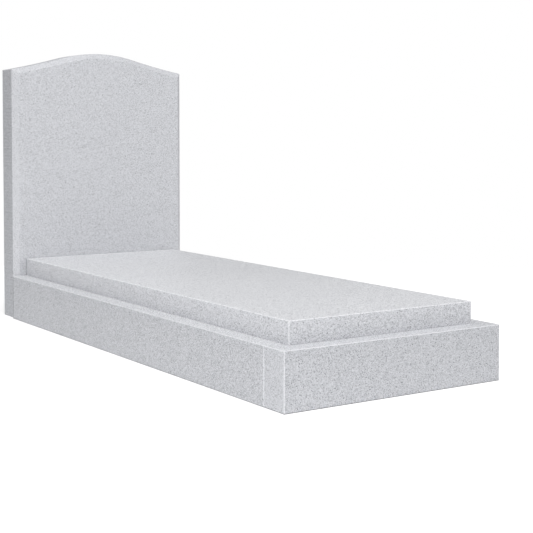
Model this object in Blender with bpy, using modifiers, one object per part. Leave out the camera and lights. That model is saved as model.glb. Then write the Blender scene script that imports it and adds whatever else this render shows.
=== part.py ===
# Granite kerb memorial: an upright headstone at the head, a low kerb round the
# other three sides and a flat cover slab lying on the kerb.
# Metres, +Z up. The origin is the middle of the footprint at ground level.
# The headstone stands at +Y and faces -Y, the foot of the memorial is at -Y.

import math

import bmesh
import bpy

# Outline of the whole set, on the ground
SET_WIDTH = 0.762            # 2 ft 6 in across the kerbs' outer faces
SET_LENGTH = 1.98            # 6 ft 6 in from the foot kerb's face to the headstone's back

# Kerb
KERB_HEIGHT = 0.165
KERB_THICKNESS = 0.095       # all three kerbs are cut from the same section

# Cover slab
SLAB_THICKNESS = 0.065
SLAB_SIDE_MARGIN = 0.056     # kerb top left showing beside the slab
SLAB_FOOT_MARGIN = 0.060     # and at its foot

# Headstone
HEADSTONE_THICKNESS = 0.115
HEADSTONE_HEIGHT = 1.035     # ground to the top of the crown
HEADSTONE_INSET = 0.010      # each side stands this far in from the kerb's outer face
CROWN_RISE = 0.070           # the crown above the two outer corners
FRONT_CHAMFER = 0.020        # 45 degree chamfer on the front's sides and top

# Form of the curved top: where the round crown turns into the hollow shoulder
CROWN_REACH_SHARE = 0.41     # of the half width, from the middle
CROWN_DROP_SHARE = 0.29      # of the rise, down from the top
ARC_STEPS = 12               # flat facets along each arc

# Finish and fit
ARRIS = 0.002                # small 45 degree arris on every sawn edge
JOINT = 0.0003               # dry joint between stones that touch

# Where the stones meet
HALF_WIDTH = SET_WIDTH / 2
HEADSTONE_HALF_WIDTH = HALF_WIDTH - HEADSTONE_INSET
FOOT_FACE_Y = -SET_LENGTH / 2
HEADSTONE_BACK_Y = SET_LENGTH / 2
HEADSTONE_FACE_Y = HEADSTONE_BACK_Y - HEADSTONE_THICKNESS
SIDE_KERB_START_Y = FOOT_FACE_Y + KERB_THICKNESS + JOINT
SIDE_KERB_END_Y = HEADSTONE_FACE_Y - JOINT
SLAB_BED_Z = KERB_HEIGHT + JOINT


def clear_scene():
    for old in list(bpy.data.objects):
        bpy.data.objects.remove(old, do_unlink=True)


def granite(name, color, roughness):
    material = bpy.data.materials.new(name)
    material.use_nodes = True
    shader = material.node_tree.nodes["Principled BSDF"]
    shader.inputs["Base Color"].default_value = (*color, 1.0)
    shader.inputs["Roughness"].default_value = roughness
    shader.inputs["Metallic"].default_value = 0.0
    return material


def finish_stone(stone, parts, root, material):
    # puts the stone in the memorial's collection and cuts the small arrises
    for collection in list(stone.users_collection):
        collection.objects.unlink(stone)
    parts.objects.link(stone)
    stone.parent = root
    stone.data.materials.clear()
    stone.data.materials.append(material)
    arris = stone.modifiers.new("arris", "BEVEL")
    arris.width = ARRIS
    arris.segments = 1
    arris.limit_method = "ANGLE"
    arris.angle_limit = math.radians(60)     # leaves the wide front chamfer's own edges sharp


def sawn_block(name, low, high):
    # a squared stone between two opposite corners
    middle = [(a + b) / 2 for a, b in zip(low, high)]
    size = [b - a for a, b in zip(low, high)]
    bpy.ops.mesh.primitive_cube_add(size=1, location=middle)
    block = bpy.context.object
    block.name = name
    block.data.name = name
    block.scale = size
    bpy.ops.object.transform_apply(location=False, rotation=False, scale=True)
    return block


def crown_half():
    # the top's right half, from the middle of the crown down to the outer corner:
    # a round arc and then a hollow one, which share a tangent where they meet
    reach = CROWN_REACH_SHARE * HEADSTONE_HALF_WIDTH
    drop = CROWN_DROP_SHARE * CROWN_RISE
    turn = 2 * math.atan2(drop, reach)
    shoulder_chord = math.atan2(CROWN_RISE - drop, HEADSTONE_HALF_WIDTH - reach)
    corner = 2 * shoulder_chord - turn

    crown_radius = reach / math.sin(turn)
    crown_centre_z = HEADSTONE_HEIGHT - crown_radius
    points = []
    for step in range(ARC_STEPS + 1):
        angle = turn * step / ARC_STEPS
        points.append((crown_radius * math.sin(angle), crown_centre_z + crown_radius * math.cos(angle)))

    hollow_radius = (HEADSTONE_HALF_WIDTH - reach) / (math.sin(turn) - math.sin(corner))
    hollow_centre_x = reach + hollow_radius * math.sin(turn)
    hollow_centre_z = HEADSTONE_HEIGHT - drop + hollow_radius * math.cos(turn)
    for step in range(1, ARC_STEPS + 1):
        angle = turn + (corner - turn) * step / ARC_STEPS
        points.append((hollow_centre_x - hollow_radius * math.sin(angle),
                       hollow_centre_z - hollow_radius * math.cos(angle)))
    return points


def headstone_outline():
    # the front's outline, once round: right foot, up over the crown, left foot
    half = crown_half()
    mirrored = [(-x, z) for x, z in half[1:]]
    right_foot = (HEADSTONE_HALF_WIDTH, 0.0)
    left_foot = (-HEADSTONE_HALF_WIDTH, 0.0)
    return [right_foot] + half[::-1] + mirrored + [left_foot]


def upright_slab(name, outline, thickness, middle_y):
    # a flat outline given its thickness and stood on edge, as a closed mesh
    curve = bpy.data.curves.new(name, "CURVE")
    curve.dimensions = "2D"
    curve.fill_mode = "BOTH"
    curve.extrude = thickness / 2
    spline = curve.splines.new("POLY")
    spline.points.add(len(outline) - 1)
    for point, (x, z) in zip(spline.points, outline):
        point.co = (x, z, 0.0, 1.0)
    spline.use_cyclic_u = True

    flat = bpy.data.objects.new(name + "_outline", curve)
    bpy.context.collection.objects.link(flat)
    flat.rotation_euler = (math.radians(90), 0.0, 0.0)
    flat.location = (0.0, middle_y, 0.0)
    bpy.context.view_layer.update()

    depsgraph = bpy.context.evaluated_depsgraph_get()
    mesh = bpy.data.meshes.new_from_object(flat.evaluated_get(depsgraph))
    mesh.name = name
    slab = bpy.data.objects.new(name, mesh)
    slab.matrix_world = flat.matrix_world
    bpy.context.collection.objects.link(slab)
    bpy.data.objects.remove(flat, do_unlink=True)
    return slab


def chamfer_front(slab, width):
    # the outline lies in the mesh's own XY plane, and its front face looks along +Z
    bm = bmesh.new()
    bm.from_mesh(slab.data)
    bmesh.ops.remove_doubles(bm, verts=bm.verts, dist=0.00001)
    for side in (1, -1):
        face_parts = [face for face in bm.faces if face.normal.z * side > 0.99]
        bmesh.ops.dissolve_faces(bm, faces=face_parts)
    front = max(bm.faces, key=lambda face: face.calc_center_median().z)
    ground = min(vert.co.y for vert in bm.verts)
    edges = [edge for edge in front.edges if max(vert.co.y for vert in edge.verts) > ground + width]
    bmesh.ops.bevel(bm, geom=edges, offset=width, offset_type="OFFSET", segments=1,
                    profile=0.5, affect="EDGES", material=-1)
    bmesh.ops.recalc_face_normals(bm, faces=bm.faces)
    bm.to_mesh(slab.data)
    bm.free()


def make_headstone():
    middle_y = (HEADSTONE_FACE_Y + HEADSTONE_BACK_Y) / 2
    stone = upright_slab("headstone", headstone_outline(), HEADSTONE_THICKNESS, middle_y)
    chamfer_front(stone, FRONT_CHAMFER)
    return stone


def make_foot_kerb():
    # runs the full width, across the ends of both side kerbs
    return sawn_block("kerb_foot",
                      (-HALF_WIDTH, FOOT_FACE_Y, 0.0),
                      (HALF_WIDTH, FOOT_FACE_Y + KERB_THICKNESS, KERB_HEIGHT))


def make_side_kerb(name, side):
    # lies between the foot kerb and the headstone's face, flush with their ends
    outer = side * HALF_WIDTH
    inner = side * (HALF_WIDTH - KERB_THICKNESS)
    return sawn_block(name,
                      (min(outer, inner), SIDE_KERB_START_Y, 0.0),
                      (max(outer, inner), SIDE_KERB_END_Y, KERB_HEIGHT))


def make_cover_slab():
    # lies on the inner part of the three kerbs and butts against the headstone
    half = HALF_WIDTH - SLAB_SIDE_MARGIN
    return sawn_block("cover_slab",
                      (-half, FOOT_FACE_Y + SLAB_FOOT_MARGIN, SLAB_BED_Z),
                      (half, HEADSTONE_FACE_Y - JOINT, SLAB_BED_Z + SLAB_THICKNESS))


def build():
    clear_scene()
    parts = bpy.data.collections.new("granite_kerb_memorial")
    bpy.context.scene.collection.children.link(parts)
    root = bpy.data.objects.new("memorial_ground_centre", None)
    parts.objects.link(root)

    light = (0.60, 0.61, 0.63)
    stones = [
        (make_headstone(), granite("headstone_granite", light, 0.5)),
        (make_foot_kerb(), granite("kerb_foot_granite", light, 0.55)),
        (make_side_kerb("kerb_left", -1), granite("kerb_left_granite", light, 0.55)),
        (make_side_kerb("kerb_right", 1), granite("kerb_right_granite", light, 0.55)),
        (make_cover_slab(), granite("cover_slab_granite", light, 0.45)),
    ]
    for stone, material in stones:
        finish_stone(stone, parts, root, material)


build()
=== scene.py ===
import math

import bmesh
import bpy
from mathutils import Matrix, Vector


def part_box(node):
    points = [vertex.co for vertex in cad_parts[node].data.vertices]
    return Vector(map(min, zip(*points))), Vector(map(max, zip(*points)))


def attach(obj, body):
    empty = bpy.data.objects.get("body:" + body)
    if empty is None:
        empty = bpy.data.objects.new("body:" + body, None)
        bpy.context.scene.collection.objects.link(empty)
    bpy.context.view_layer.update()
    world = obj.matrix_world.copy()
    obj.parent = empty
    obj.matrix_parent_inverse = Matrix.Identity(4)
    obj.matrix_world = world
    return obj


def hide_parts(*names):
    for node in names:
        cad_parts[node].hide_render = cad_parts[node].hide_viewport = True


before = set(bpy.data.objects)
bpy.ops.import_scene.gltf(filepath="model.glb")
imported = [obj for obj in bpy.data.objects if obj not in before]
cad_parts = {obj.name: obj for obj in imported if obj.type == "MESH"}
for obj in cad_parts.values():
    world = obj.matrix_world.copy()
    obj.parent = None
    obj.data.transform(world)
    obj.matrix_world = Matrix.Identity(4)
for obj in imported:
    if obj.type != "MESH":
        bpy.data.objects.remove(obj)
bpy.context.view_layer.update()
scene = bpy.context.scene
print("frame loaded:", ", ".join(sorted(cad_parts)))


# camera

view = {
    "place": (-2.1027, -3.5139, 0.7398),   # off the near left corner, lower than the headstone
    "heading": 33.45,                      # degrees to the right of the memorial's length
    "pitch": 2.32,                         # degrees down
    "sensor": 36,                          # millimetres across
    "lens": 80.80,                         # millimetres
    "shift": -0.17,                        # keeps the headstone upright in the picture
}


def makeCamera(view):
    camera = bpy.data.objects.new("camera", bpy.data.cameras.new("camera"))
    scene.collection.objects.link(camera)
    camera.data.sensor_width = view["sensor"]
    camera.data.lens = view["lens"]
    camera.data.shift_y = view["shift"]
    camera.location = view["place"]
    camera.rotation_euler = (math.radians(90 - view["pitch"]), 0, -math.radians(view["heading"]))
    scene.camera = camera


makeCamera(view)
print("camera set")


# shader helper: wraps a socket, so that maths on it reads as plain Python

class Socket:
    def __init__(self, tree, output=None):
        self.tree = tree
        self.output = output

    def node(self, kind, settings=None, inputs=None, pick=0):
        made = self.tree.nodes.new(kind)
        for name, value in (settings or {}).items():
            if name == "stops":
                fillRamp(made.color_ramp, value)
            elif name == "interpolation":
                made.color_ramp.interpolation = value
            else:
                setattr(made, name, value)
        for name, value in (inputs or {}).items():
            if isinstance(value, Socket):
                self.tree.links.new(value.output, made.inputs[name])
            else:
                made.inputs[name].default_value = value
        return Socket(self.tree, made.outputs[pick] if len(made.outputs) else None)

    def maths(self, operation, first, second):
        return self.node("ShaderNodeMath", {"operation": operation}, {0: first, 1: second})

    def __add__(self, other):
        return self.maths("ADD", self, other)

    __radd__ = __add__

    def __mul__(self, other):
        return self.maths("MULTIPLY", self, other)

    __rmul__ = __mul__

    def __sub__(self, other):
        return self.maths("SUBTRACT", self, other)

    def __rsub__(self, other):
        return self.maths("SUBTRACT", other, self)


def fillRamp(ramp, stops):
    while len(ramp.elements) < len(stops):
        ramp.elements.new(1)
    for element, (position, color) in zip(ramp.elements, stops):
        element.position = position
        element.color = (*color, 1)


# granite: feldspar, quartz and dark mica crystals, cut through by the stone's faces

granite = {
    "crystal": 0.0016,             # metres across one crystal
    "cluster": 0.0065,             # patches where like crystals crowd together
    "cloud": 0.22,                 # slow change of tone across a block
    "wander": 0.0011,              # how far the crystals' borders stray
    "wanderScale": 1.6,            # bends in a border, to one crystal
    "crystalRelief": 0.5,          # how much a crystal stands up, against a patch
    "reliefDepth": 0.0004,
    "specular": 0.4,
    "sheenSpread": 0.12,           # dark crystals are a little rougher than pale ones
    "stops": [                     # tone 0 is mica, 1 the whitest feldspar
        (0.0, (0.120, 0.125, 0.135)),
        (0.30, (0.361, 0.368, 0.390)),
        (0.62, (0.561, 0.568, 0.595)),
        (0.80, (0.641, 0.648, 0.674)),
        (1.0, (0.801, 0.806, 0.824)),
    ],
    "kinds": [                     # share of the crystals below this place, and their tone
        (0.0, (0.12,) * 3),
        (0.065, (0.42,) * 3),
        (0.30, (0.60,) * 3),
        (0.55, (0.72,) * 3),
        (0.82, (0.80,) * 3),
    ],
    "meanTone": 0.64,
    "rubbedAndHighlightTone": 0.29,            # how much lighter the rubbed arrises are, partly rubbing and partly a painted highlight
    "rubbedFade": 0.5,             # share of the speckle that the rubbing hides
    "jointShadeTone": 0.55,             # painted shade: how much darker they are in a joint or on the ground
    "sawTone": 0.05,               # between the crest and the hollow of a saw line
}


finishes = {                       # tone is the mean, partly painted light (smooth tops lighter, sawn sides darker, as lit), contrast that of the crystals
    "honed": {"tone": 0.60, "contrast": 1.15, "patchiness": 0.02, "clouding": 0.04,
              "roughness": 0.55, "relief": 0.25},
    "smooth": {"tone": 0.705, "contrast": 1.6, "patchiness": 0.02, "clouding": 0.05,
               "roughness": 0.5, "relief": 0.12},
    "rubbed": {"tone": 0.62, "contrast": 0.9, "patchiness": 0.02, "clouding": 0.05,
               "roughness": 0.55, "relief": 0.2},
    "sawn": {"tone": 0.40, "contrast": 1.0, "patchiness": 0.05, "clouding": 0.10,
             "roughness": 0.7, "relief": 0.4, "sawLines": 24.0},
}


def makeGranite(name, look, cutFrom):
    material = bpy.data.materials.new(name)
    material.use_nodes = True
    material.node_tree.nodes.clear()
    start = Socket(material.node_tree)

    place = start.node("ShaderNodeTexCoord", pick="Object")
    block = start.node("ShaderNodeMapping", {}, {"Vector": place, "Location": cutFrom})
    stray = start.node("ShaderNodeTexNoise", {"noise_dimensions": "3D"},
                       {"Vector": block, "Scale": granite["wanderScale"] / granite["crystal"],
                        "Detail": 1.0}, "Color")
    bent = start.node("ShaderNodeVectorMath", {"operation": "MULTIPLY_ADD"},
                      {0: stray, 1: (granite["wander"],) * 3, 2: block})

    crystals = start.node("ShaderNodeTexVoronoi", {"feature": "F1"},
                          {"Vector": bent, "Scale": 1 / granite["crystal"]}, "Color")
    draw = start.node("ShaderNodeSeparateColor", {}, {"Color": crystals}, "Red")
    kind = start.node("ShaderNodeValToRGB", {"interpolation": "CONSTANT", "stops": granite["kinds"]},
                      {"Fac": draw})
    clusters = start.node("ShaderNodeTexNoise", {},
                          {"Vector": block, "Scale": 1 / granite["cluster"], "Detail": 2.0,
                           "Roughness": 0.6})
    clouds = start.node("ShaderNodeTexNoise", {},
                        {"Vector": block, "Scale": 1 / granite["cloud"], "Detail": 3.0})
    arris = start.node("ShaderNodeAttribute", {"attribute_name": "arris"}, pick="Fac")
    # above 0: the rubbed arrises' lightening, partly a painted highlight
    rubbed = arris.maths("MAXIMUM", arris, 0.0)
    # below 0: painted shade in joints, along the ground and beside the headstone
    dark = arris.maths("MINIMUM", arris, 0.0)

    speckle = (kind - granite["meanTone"]) * look["contrast"]
    patches = (clusters - 0.5) * look["patchiness"] + (clouds - 0.5) * look["clouding"]
    tone = (speckle * (1 - granite["rubbedFade"] * rubbed) + patches + rubbed * granite["rubbedAndHighlightTone"]
            + dark * granite["jointShadeTone"] + look["tone"])
    roughness = (clusters - kind) * granite["sheenSpread"] + look["roughness"]
    relief = kind * granite["crystalRelief"] + clusters

    if look.get("sawLines"):       # the blade's faint steps
        blade = start.node("ShaderNodeTexWave", {"wave_type": "BANDS", "bands_direction": "Z"},
                           {"Vector": block, "Scale": look["sawLines"], "Distortion": 1.5,
                            "Detail": 2.0, "Detail Scale": 0.6}, "Fac")
        tone = tone + (blade - 0.5) * granite["sawTone"]
        relief = relief + blade

    color = start.node("ShaderNodeValToRGB", {"stops": granite["stops"]}, {"Fac": tone})
    bump = start.node("ShaderNodeBump", {}, {"Height": relief, "Strength": look["relief"],
                                             "Distance": granite["reliefDepth"]})
    shader = start.node("ShaderNodeBsdfPrincipled", {},
                        {"Base Color": color, "Roughness": roughness, "Normal": bump,
                         "Specular IOR Level": granite["specular"]})
    start.node("ShaderNodeOutputMaterial", {}, {"Surface": shader})
    return material


# stone cutting: shared by the five pieces

cutting = {
    "arris": 0.002,                # rubbed edge of every square corner
    "bedArris": 0.0006,            # on the cover slab's lower edges, which lie tight on the kerbs
    "arrisSteps": 3,
    "facetAngle": 8,               # degrees: flatter joins than this are shaded as one curve
    "slant": 0.9,                  # a face turned further than this cosine is a slant one
    "square": 0.99,                # a face within this cosine is square to its axis
    "weld": 0.00001,
    "jointShadowWidth": 0.008,           # painted shadow on the stone's sides beside the joint to the headstone
    "jointShadowShare": 0.5,                  # the painted shadow is as dark as this share of the joint's painted shade
}


def newStone():
    bm = bmesh.new()
    bm.faces.layers.float.new("arris")
    return bm


def squareStone(node):
    low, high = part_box(node)
    bm = newStone()
    bmesh.ops.create_cube(bm, size=1)
    bmesh.ops.scale(bm, vec=high - low, verts=bm.verts)
    bmesh.ops.translate(bm, vec=(low + high) / 2, verts=bm.verts)
    return bm


def rubArris(bm, edges, width):
    cut = bmesh.ops.bevel(bm, geom=edges, offset=width, offset_type="OFFSET",
                          segments=cutting["arrisSteps"], profile=0.5, affect="EDGES", material=-1)
    arris = bm.faces.layers.float["arris"]
    for face in cut["faces"]:
        face[arris] = 1


def paintJointShadow(bm, node):
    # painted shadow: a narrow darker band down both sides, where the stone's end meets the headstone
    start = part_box(node)[1].y - cutting["jointShadowWidth"]
    bmesh.ops.bisect_plane(bm, geom=bm.verts[:] + bm.edges[:] + bm.faces[:],
                           plane_co=(0, start, 0), plane_no=(0, 1, 0))
    arris = bm.faces.layers.float["arris"]
    for face in bm.faces:
        if face.calc_center_median().y > start and abs(face.normal.x) > cutting["square"]:
            face[arris] = -cutting["jointShadowShare"]


def side(normal):
    # the side of the stone that this direction looks to, or a slant one
    axis = max(range(3), key=lambda i: abs(normal[i]))
    if abs(normal[axis]) < cutting["slant"]:
        return "slant"
    return ("+" if normal[axis] > 0 else "-") + "XYZ"[axis]


def inJoint(face, stone, low, high):
    # an arris on the ground or against the next stone, which gets painted shade and isn't seen rubbed
    middle = face.calc_center_median()
    for where in stone["joints"]:
        axis = "XYZ".index(where[1])
        edge = high[axis] if where[0] == "+" else low[axis]
        if abs(middle[axis] - edge) < cutting["arris"]:
            return True
    return False


def finishStone(bm, name, node, stone):
    # gives each face its finish, and puts the object on its body
    low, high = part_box(node)
    used = [finish for finish in finishes if finish in ("honed", *stone["faces"].values())]
    arris = bm.faces.layers.float["arris"]
    for face in bm.faces:
        finish = stone["faces"].get(side(face.normal), "honed")
        if face[arris] == 1:
            finish = "honed"
            # the stone's rubbed share of arris lightening, partly a painted highlight
            face[arris] = stone["rubbed"]
            # an arris in a joint or on the ground gets painted shade instead
            if inJoint(face, stone, low, high):
                face[arris] = -1
        face.material_index = used.index(finish)

    mesh = bpy.data.meshes.new(name)
    bm.to_mesh(mesh)
    bm.free()
    mesh.shade_smooth()
    mesh.set_sharp_from_angle(angle=math.radians(cutting["facetAngle"]))
    for finish in used:
        look = dict(finishes[finish])
        look["tone"] += stone["tone"].get(finish, 0)
        look["contrast"] *= stone["grain"]
        mesh.materials.append(makeGranite(name + "_" + finish, look, stone["block"]))
    piece = bpy.data.objects.new(name, mesh)
    scene.collection.objects.link(piece)
    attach(piece, "root")
    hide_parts(node)
    print(name, "cut:", len(mesh.polygons), "faces")


# headstone

headstone = {
    "crownRise": 0.070,            # the crown above the outer corners
    "crownReach": 0.41,            # share of the half width where crown turns to shoulder
    "crownDrop": 0.29,             # share of the rise at that place
    "arcSteps": 40,
    "chamfer": 0.020,              # on the front's sides and top
    "arris": 0.0015,
    "sharpAngle": 25,              # degrees: edges sharper than this get an arris
    # its sawn sides are darker partly as painted shade
    "faces": {"slant": "rubbed", "+X": "sawn", "-X": "sawn", "+Y": "sawn", "-Z": "sawn"},
    "joints": ["-Z"],              # sides that meet the ground or the next stone, whose arrises get painted shade
    "rubbed": 0,                   # its arrises are no lighter than its faces
    "block": (0.0, 0.0, 0.0),      # where in the quarry's rock this stone was cut
    "tone": {"honed": 0.02},
    "grain": 0.88,                 # this block's contrast against the finish's own
}


def makeHeadstone(stone):
    low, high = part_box("headstone")
    bm = newStone()
    front = drawOutline(bm, stone, low.y, stone["chamfer"])
    shoulder = drawOutline(bm, stone, low.y + stone["chamfer"], 0)
    back = drawOutline(bm, stone, high.y, 0)
    bmesh.ops.bridge_loops(bm, edges=front + shoulder)
    bmesh.ops.bridge_loops(bm, edges=shoulder + back)
    bmesh.ops.contextual_create(bm, geom=front)
    bmesh.ops.contextual_create(bm, geom=back)
    bmesh.ops.recalc_face_normals(bm, faces=bm.faces)
    sharp = [edge for edge in bm.edges if edge.calc_face_angle(0) > math.radians(stone["sharpAngle"])]
    rubArris(bm, sharp, stone["arris"])
    return bm


def drawOutline(bm, stone, y, inset):
    # one outline of the stone at this depth: half of it spun and drawn, and then mirrored
    low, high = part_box("headstone")
    reach = stone["crownReach"] * high.x
    drop = stone["crownDrop"] * stone["crownRise"]
    turn = 2 * math.atan2(drop, reach)
    corner = 2 * math.atan2(stone["crownRise"] - drop, high.x - reach) - turn
    crownRadius = reach / math.sin(turn)
    hollowRadius = (high.x - reach) / (math.sin(turn) - math.sin(corner))
    hollowCentre = Vector((reach + hollowRadius * math.sin(turn), y,
                           high.z - drop + hollowRadius * math.cos(turn)))
    outer = high.x - inset
    last = math.asin((hollowCentre.x - outer) / (hollowRadius + inset))

    before = set(bm.edges)
    tip = bm.verts.new((0, y, high.z - inset))
    tip = spinPoint(bm, tip, (0, y, high.z - crownRadius), turn, stone["arcSteps"])
    tip = spinPoint(bm, tip, hollowCentre, last - turn, stone["arcSteps"])
    tip = drawLine(bm, tip, (outer, y, low.z))
    tip = drawLine(bm, tip, (0, y, low.z))
    half = [edge for edge in bm.edges if edge not in before]
    ends = list({vert for edge in half for vert in edge.verts})
    bmesh.ops.mirror(bm, geom=half + ends, matrix=Matrix.Identity(4),
                     merge_dist=cutting["weld"], axis="X")
    return [edge for edge in bm.edges if edge not in before]


def spinPoint(bm, vert, centre, angle, steps):
    arc = bmesh.ops.spin(bm, geom=[vert], cent=centre, axis=(0, 1, 0), angle=angle, steps=steps,
                         use_merge=False, use_duplicate=False)
    return [part for part in arc["geom_last"] if isinstance(part, bmesh.types.BMVert)][0]


def drawLine(bm, vert, end):
    drawn = bmesh.ops.extrude_vert_indiv(bm, verts=[vert])["verts"][0]
    drawn.co = end
    return drawn


bm = makeHeadstone(headstone)
finishStone(bm, "upright_headstone", "headstone", headstone)


# kerbs and cover slab

# tone shifts each stone's finishes, partly block colour and partly painted light: sides darker, tops
# lighter; rubbed sets its arris lightening, partly a painted highlight
kerbs = {
    "kerb_foot": {
        "faces": {"+Z": "smooth", "+Y": "sawn", "-Z": "sawn"},
        "joints": ["-Z"],
        "rubbed": 1,
        "block": (3.1, 1.7, 0.4),
        "tone": {"honed": -0.105, "smooth": -0.02},
        "grain": 0.80,
    },
    "kerb_left": {
        "faces": {"+Z": "smooth", "+X": "sawn", "+Y": "sawn", "-Y": "sawn", "-Z": "sawn"},
        "joints": ["+Y", "-Z"],
        "rubbed": 1,
        "block": (1.3, 5.2, 2.6),
        "tone": {"honed": -0.14, "smooth": 0.045},
        "grain": 1.15,
    },
    "kerb_right": {
        "faces": {"+Z": "smooth", "-X": "sawn", "+Y": "sawn", "-Y": "sawn", "-Z": "sawn"},
        "joints": ["+Y", "-Z"],
        "rubbed": 1,
        "block": (7.9, 2.4, 1.1),
        "tone": {"honed": -0.14, "smooth": 0.045},
        "grain": 1.15,
    },
}

# the cover slab's tone and rubbed share, partly painted light and painted highlight as for the kerbs
coverSlab = {
    "faces": {"+Z": "smooth", "+Y": "sawn", "-Z": "sawn"},
    "joints": ["+Y"],
    "rubbed": 0.7,
    "block": (4.6, 8.3, 3.2),
    "tone": {"honed": 0.08, "smooth": 0.12},
    "grain": 1.08,
}

for node, stone in kerbs.items():
    bm = squareStone(node)
    rubArris(bm, bm.edges[:], cutting["arris"])
    # a painted shadow beside the joint to the headstone
    if "+Y" in stone["joints"]:
        paintJointShadow(bm, node)
    finishStone(bm, "granite_" + node, node, stone)

bm = squareStone("cover_slab")
bed = min(vert.co.z for vert in bm.verts)
upper = [edge for edge in bm.edges if max(vert.co.z for vert in edge.verts) > bed]
rubArris(bm, upper, cutting["arris"])
lower = [edge for edge in bm.edges if max(vert.co.z for vert in edge.verts) == bed]
rubArris(bm, lower, cutting["bedArris"])
# a painted shadow beside the joint to the headstone
paintJointShadow(bm, "cover_slab")
finishStone(bm, "flat_cover_slab", "cover_slab", coverSlab)


# studio: a pale floor, even light all round and a few large soft lamps

studio = {
    "floorRadius": 2.6,
    "floorSides": 96,
    "floorDrop": 0.0004,           # just under the stones' beds
    "floorColor": (0.65, 0.65, 0.65, 1),
    "floorGlow": 0.46,             # lit from below too, so that shadows stay faint
    "skyLight": 0.31,
    "backdrop": 1.0,               # what the camera sees beyond the floor
}

lamps = {
    "key": {"place": (-3.4, -5.2, 3.6), "aim": (0.0, 0.0, 0.3), "width": 3.0, "power": 137},
    "lowLeft": {"place": (-2.4, -2.4, 0.9), "aim": (-0.4, -0.7, 0.1), "width": 1.4, "power": 13},
    "front": {"place": (3.4, -5.6, 1.8), "aim": (0.0, -0.2, 0.3), "width": 2.4, "power": 38},
    "left": {"place": (-6.0, 0.6, 2.0), "aim": (0.0, 0.0, 0.3), "width": 2.4, "power": 44},
    "overhead": {"place": (-1.2, -1.6, 6.8), "aim": (0.0, 0.0, 0.2), "width": 5.2, "power": 296},
    "farSide": {"place": (4.8, -1.2, 2.4), "aim": (0.0, 0.2, 0.3), "width": 2.4, "power": 58},
    "back": {"place": (-1.6, 5.4, 3.0), "aim": (0.0, 0.9, 0.5), "width": 2.4, "power": 42},
}


def makeFloor(studio):
    bm = bmesh.new()
    bmesh.ops.create_circle(bm, cap_ends=True, segments=studio["floorSides"],
                            radius=studio["floorRadius"])
    bmesh.ops.translate(bm, vec=(0, 0, -studio["floorDrop"]), verts=bm.verts)
    mesh = bpy.data.meshes.new("floor")
    bm.to_mesh(mesh)
    bm.free()
    material = bpy.data.materials.new("floor_paper")
    material.use_nodes = True
    shader = material.node_tree.nodes["Principled BSDF"]
    shader.inputs["Base Color"].default_value = studio["floorColor"]
    shader.inputs["Roughness"].default_value = 1
    shader.inputs["Specular IOR Level"].default_value = 0
    shader.inputs["Emission Color"].default_value = (1, 1, 1, 1)
    shader.inputs["Emission Strength"].default_value = studio["floorGlow"]
    mesh.materials.append(material)
    floor = bpy.data.objects.new("floor", mesh)
    scene.collection.objects.link(floor)


def makeSky(studio):
    world = bpy.data.worlds.new("studio_light")
    world.use_nodes = True
    world.node_tree.nodes.clear()
    start = Socket(world.node_tree)
    seen = start.node("ShaderNodeLightPath", pick="Is Camera Ray")
    strength = seen * (studio["backdrop"] - studio["skyLight"]) + studio["skyLight"]
    sky = start.node("ShaderNodeBackground", {}, {"Color": (1, 1, 1, 1), "Strength": strength})
    start.node("ShaderNodeOutputWorld", {}, {"Surface": sky})
    scene.world = world


def makeLamp(name, lamp):
    light = bpy.data.lights.new(name, "AREA")
    light.shape = "SQUARE"
    light.size = lamp["width"]
    light.energy = lamp["power"]
    holder = bpy.data.objects.new(name, light)
    scene.collection.objects.link(holder)
    holder.location = lamp["place"]
    aim = Vector(lamp["aim"]) - Vector(lamp["place"])
    holder.rotation_euler = aim.to_track_quat("-Z", "Y").to_euler()


makeFloor(studio)
makeSky(studio)
for name, lamp in lamps.items():
    makeLamp(name, lamp)
scene.view_settings.view_transform = "Standard"
print("studio lit by", len(lamps), "lamps")
